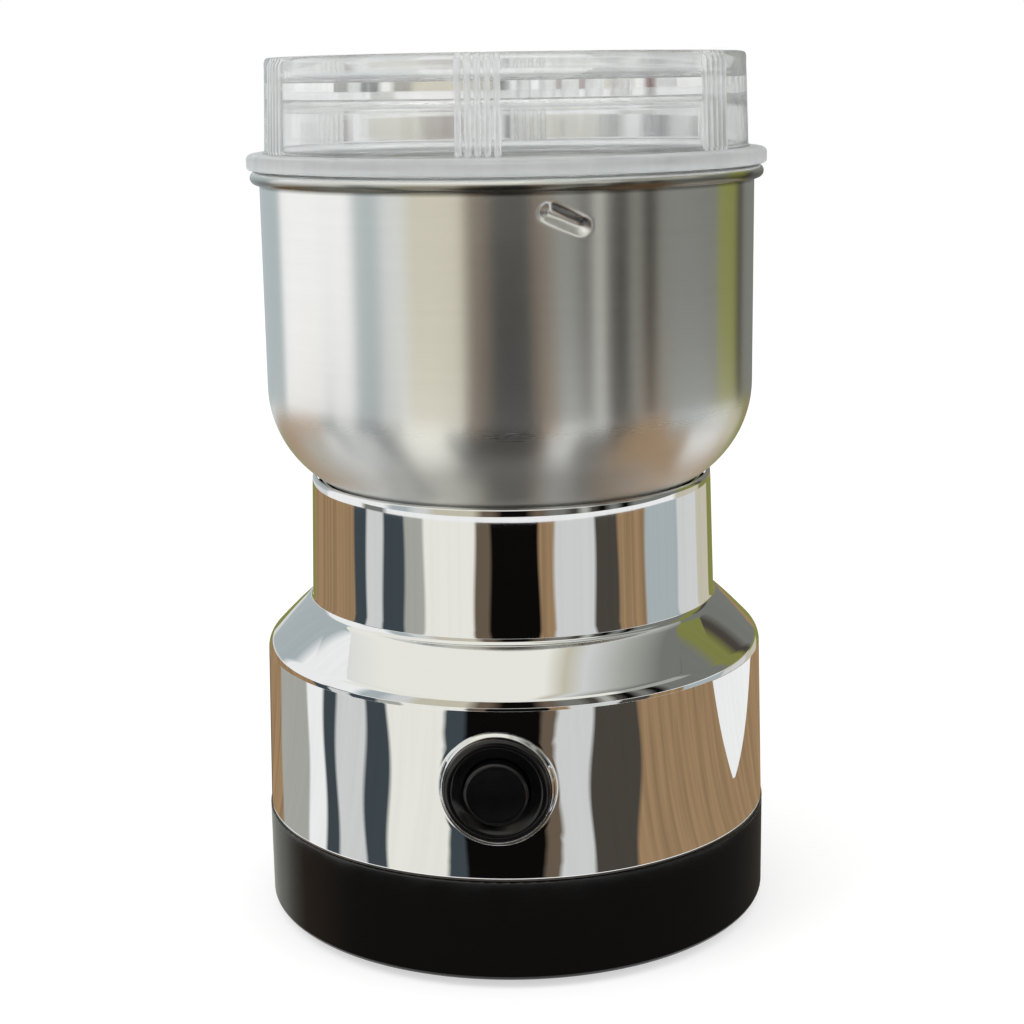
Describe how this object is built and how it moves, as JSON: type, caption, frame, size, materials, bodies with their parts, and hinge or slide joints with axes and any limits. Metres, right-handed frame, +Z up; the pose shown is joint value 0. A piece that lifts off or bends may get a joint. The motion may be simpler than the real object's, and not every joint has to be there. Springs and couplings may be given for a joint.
{
  "type": "electric spice grinder",
  "caption": "Push-button spice grinder: clear twist-off lid, brushed steel bowl with a spinning blade, chromed motor housing and black base.",
  "frame": {"origin": "on the table under the grinder's vertical axis", "axes": "+Z up along the motor's axis; the push button faces -Y and the cord gland faces +Y"},
  "size_m": [0.1004, 0.1054, 0.1675],
  "materials": {
    "chrome_plating": "mirror",
    "black_gloss_plastic": "gloss",
    "button_plastic": "satin",
    "black_matte_plastic": "matte",
    "switch_plastic": "matte",
    "white_plastic": "satin",
    "black_rubber": "matte",
    "brushed_steel": "brushed",
    "blade_steel": "satin",
    "ground_steel": "ground",
    "zinc_steel": "zinc plated",
    "lamination_steel": "stacked sheet",
    "cast_aluminium": "cast",
    "brass": "turned",
    "bronze": "sintered",
    "copper": "turned",
    "enamelled_copper": "wound enamelled wire",
    "carbon": "matte",
    "lead_insulation": "satin",
    "clear_silicone": "translucent",
    "clear_plastic": "clear moulded"
  },
  "bodies": {
    "root": {"housing": "chrome_plating", "base": "black_gloss_plastic", "feet": "black_rubber", "base_screws": "zinc_steel", "cord_gland": "black_rubber", "button_bezel": "black_gloss_plastic", "bezel_nut": "black_matte_plastic", "return_spring": "zinc_steel", "switch_bracket": "zinc_steel", "bracket_screws": "zinc_steel", "switch_body": "switch_plastic", "switch_terminals": "brass", "switch_screws": "zinc_steel", "bowl": "brushed_steel", "bowl_bush": "brass", "bush_nut": "zinc_steel", "bowl_gasket": "black_rubber", "motor_plate": "black_matte_plastic", "deck_screws": "zinc_steel", "damping_mounts": "black_rubber", "mount_screws": "zinc_steel", "stator_core": "lamination_steel", "field_coils": "enamelled_copper", "upper_bracket": "cast_aluminium", "lower_bracket": "black_matte_plastic", "upper_bearing": "bronze", "lower_bearing": "bronze", "motor_bolts": "zinc_steel", "brush_holders": "brass", "carbon_brushes": "carbon", "brush_springs": "zinc_steel", "supply_leads": "lead_insulation", "motor_leads": "lead_insulation"},
    "rotor": {"shaft": "ground_steel", "armature_core": "lamination_steel", "armature_windings": "enamelled_copper", "commutator": "copper", "cooling_fan": "white_plastic", "blade_collar": "ground_steel", "blade": "blade_steel", "blade_washer": "ground_steel", "blade_nut": "ground_steel"},
    "button": {"button_cap": "button_plastic"},
    "plunger": {"switch_plunger": "white_plastic"},
    "seal": {"lid_seal": "clear_silicone"},
    "lid": {"lid": "clear_plastic"}
  },
  "joints": [
    {"name": "rotor_spin", "type": "hinge", "parent": "root", "child": "rotor", "pos_m": [0, 0, 0.09], "axis": [0, 0, 1], "continuous": true},
    {"name": "button_press", "type": "slide", "parent": "root", "child": "button", "axis": [0, 1, 0], "range_m": [0, 0.003], "stiffness_N_per_m": 300, "springref_m": -0.004, "deforming": ["return_spring"]},
    {"name": "plunger_travel", "type": "slide", "parent": "root", "child": "plunger", "axis": [0, 1, 0], "range_m": [0, 0.003]},
    {"name": "lid_lift", "type": "slide", "parent": "root", "child": "seal", "axis": [0, 0, 1], "range_m": [0, 0.045]},
    {"name": "lid_turn", "type": "hinge", "parent": "seal", "child": "lid", "pos_m": [0, 0, 0.15], "axis": [0, 0, 1], "range_deg": [-128, 0]}
  ],
  "couplings": [
    {"joint": "plunger_travel", "follows": "button_press", "ratio": 1},
    {"joint": "lid_turn", "follows": "lid_lift", "rad_per_m": -48.8}
  ]
}
